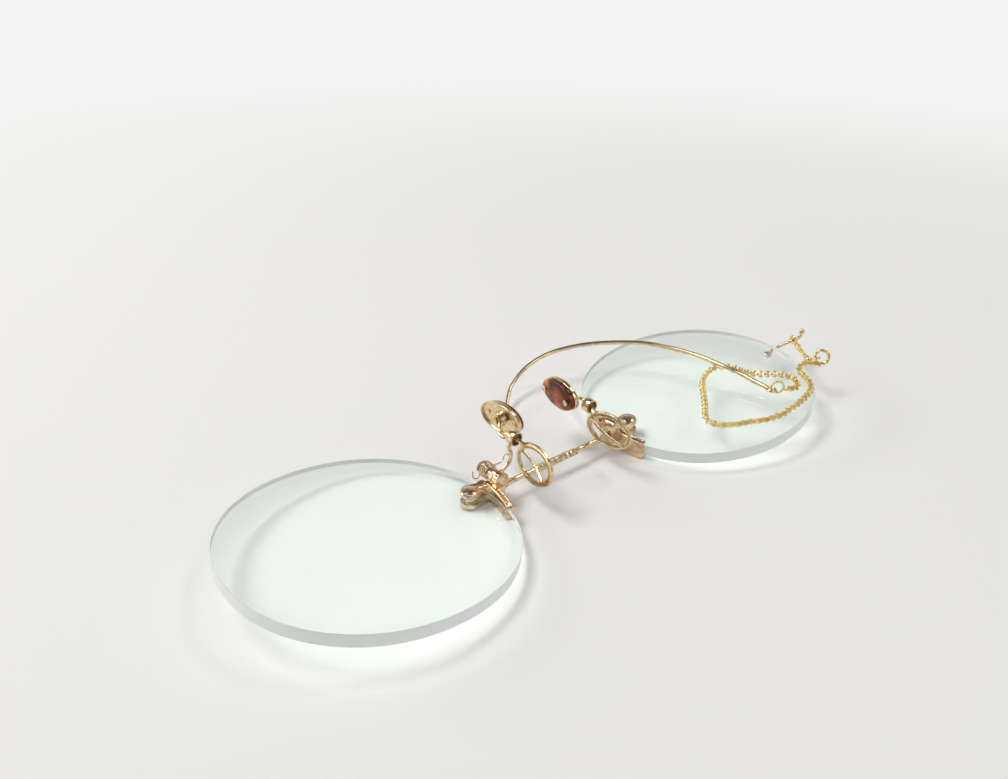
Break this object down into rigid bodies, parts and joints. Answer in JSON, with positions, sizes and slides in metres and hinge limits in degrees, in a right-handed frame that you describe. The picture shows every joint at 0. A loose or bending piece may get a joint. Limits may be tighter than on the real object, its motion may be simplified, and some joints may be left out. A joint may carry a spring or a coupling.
{
  "type": "pince nez",
  "caption": "Rimless pince nez: oval lenses on a bridge bar, sprung guards with nose loops and rocking pads, a fine chain and a wire ear hook.",
  "frame": {"origin": "on the resting surface, under the middle of the bridge bar", "axes": "+X along the bridge bar to the lens that carries the chain, +Y towards the brow, +Z out of the back of the lenses, towards the wearer's face"},
  "size_m": [0.1128, 0.0422, 0.0116],
  "materials": {
    "lens_glass": "clear polished glass",
    "gold": "worn gold filled",
    "rose_gold": "worn rose gold",
    "chain_gold": "polished yellow gold",
    "tortoiseshell": "polished translucent shell"
  },
  "bodies": {
    "frame": {"lens_left": "lens_glass", "lens_right": "lens_glass", "lens_strap_left": "rose_gold", "lens_strap_right": "rose_gold", "lens_screw_left": "gold", "lens_screw_right": "gold", "bridge_bar": "gold", "pivot_screw_left": "gold", "pivot_screw_right": "gold", "guard_spring_left": "gold", "guard_spring_right": "gold", "lens_hook": "gold", "hanger_link": "chain_gold", "hanger_ring": "chain_gold", "chain": "chain_gold", "chain_end_ring": "chain_gold", "ear_hook": "chain_gold"},
    "guard_left": {"guard_arm_left": "rose_gold", "guard_collar_left": "gold", "guard_loop_left": "gold", "pad_wire_left": "rose_gold"},
    "nose_pad_left": {"pad_plate_left": "rose_gold", "pad_stud_left": "gold", "pad_left": "tortoiseshell", "pad_rivets_left": "gold"},
    "guard_right": {"guard_arm_right": "rose_gold", "guard_collar_right": "gold", "guard_loop_right": "gold", "pad_wire_right": "rose_gold"},
    "nose_pad_right": {"pad_plate_right": "rose_gold", "pad_stud_right": "gold", "pad_right": "tortoiseshell", "pad_rivets_right": "gold"}
  },
  "joints": [
    {"name": "guard_swing_left", "type": "hinge", "parent": "frame", "child": "guard_left", "pos_m": [-0.0114, 0, 0.00422], "axis": [0, -1, 0], "range_deg": [0, 30], "stiffness_Nm_per_rad": 0.002, "springref_deg": -34.38, "deforming": ["guard_spring_left"]},
    {"name": "pad_rock_left", "type": "hinge", "parent": "guard_left", "child": "nose_pad_left", "pos_m": [-0.00704, 0.00571, 0.00926], "axis": [0.9939, 0.1045, -0.0347], "range_deg": [-10, 10]},
    {"name": "guard_swing_right", "type": "hinge", "parent": "frame", "child": "guard_right", "pos_m": [0.0114, 0, 0.00422], "axis": [0, 1, 0], "range_deg": [0, 30], "stiffness_Nm_per_rad": 0.002, "springref_deg": -34.38, "deforming": ["guard_spring_right"]},
    {"name": "pad_rock_right", "type": "hinge", "parent": "guard_right", "child": "nose_pad_right", "pos_m": [0.00704, 0.00571, 0.00926], "axis": [0.9939, -0.1045, 0.0347], "range_deg": [-10, 10]}
  ]
}
